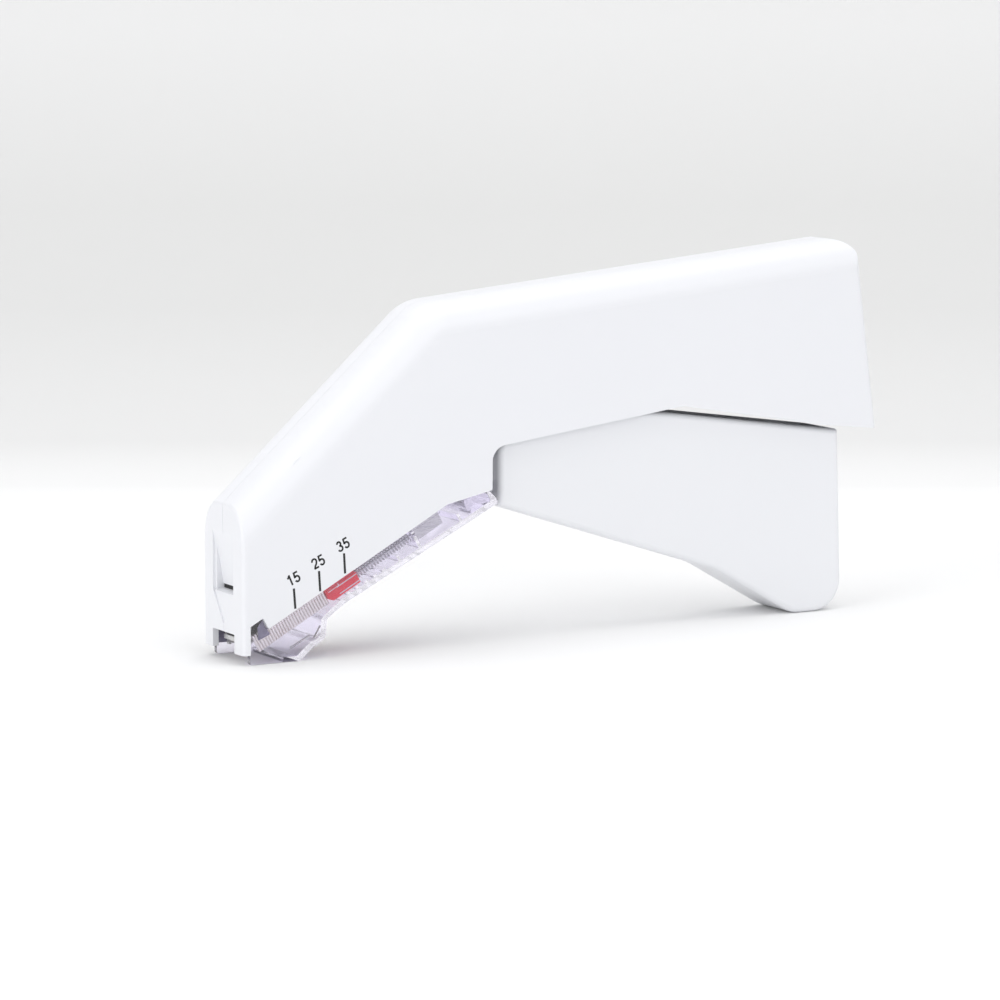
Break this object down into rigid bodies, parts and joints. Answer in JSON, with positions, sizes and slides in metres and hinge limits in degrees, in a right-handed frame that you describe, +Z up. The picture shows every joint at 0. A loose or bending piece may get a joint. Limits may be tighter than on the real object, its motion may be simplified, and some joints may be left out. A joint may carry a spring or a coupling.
{
  "type": "skin stapler",
  "caption": "Disposable skin stapler: white two-shell body with a sloped nose, squeeze trigger and a clear staple cartridge under the nose.",
  "frame": {"origin": "middle of the base of the whole object's box, on the surface that it stands on", "axes": "+X from the nose to the rear of the handle, +Y across the body, from the left shell to the right shell, +Z up"},
  "size_m": [0.1412, 0.017, 0.0747],
  "materials": {
    "white_shell": "glossy white moulding",
    "white_trigger": "glossy white moulding",
    "clear": "clear moulding with a faint violet tint",
    "red": "glossy red moulding",
    "steel": "bright strip",
    "wire": "bright drawn wire"
  },
  "bodies": {
    "body": {"left_casing": "white_shell", "right_casing": "white_shell", "pivot_pin": "steel", "return_spring": "wire", "anvil_track": "steel", "track_rivets": "steel", "ejector_spring": "steel", "cartridge_shell": "clear", "cartridge_cover": "clear", "rail_end_plug": "clear", "staples": "wire", "pusher_springs": "wire", "spring_rods": "wire"},
    "trigger": {"trigger": "white_trigger", "drive_lever": "steel", "lever_rivets": "steel"},
    "former": {"staple_former": "steel"},
    "pusher": {"staple_pusher": "red"}
  },
  "joints": [
    {"name": "trigger_squeeze", "type": "hinge", "parent": "body", "child": "trigger", "pos_m": [-0.04857, 0, 0.023], "axis": [0, -1, 0], "range_deg": [0, 14.7], "stiffness_Nm_per_rad": 1.2, "springref_deg": -14.32, "deforming": ["return_spring"]},
    {"name": "former_slide", "type": "slide", "parent": "body", "child": "former", "axis": [-0.1478, 0, -0.989], "range_m": [0, 0.0044]},
    {"name": "pusher_slide", "type": "slide", "parent": "body", "child": "pusher", "axis": [0.8755, 0, 0.4833], "range_m": [0, 0.0042], "stiffness_N_per_m": 60, "springref_m": -0.02, "deforming": ["pusher_springs"]}
  ],
  "couplings": [
    {"joint": "former_slide", "follows": "trigger_squeeze", "m_per_rad": 0.01703}
  ]
}
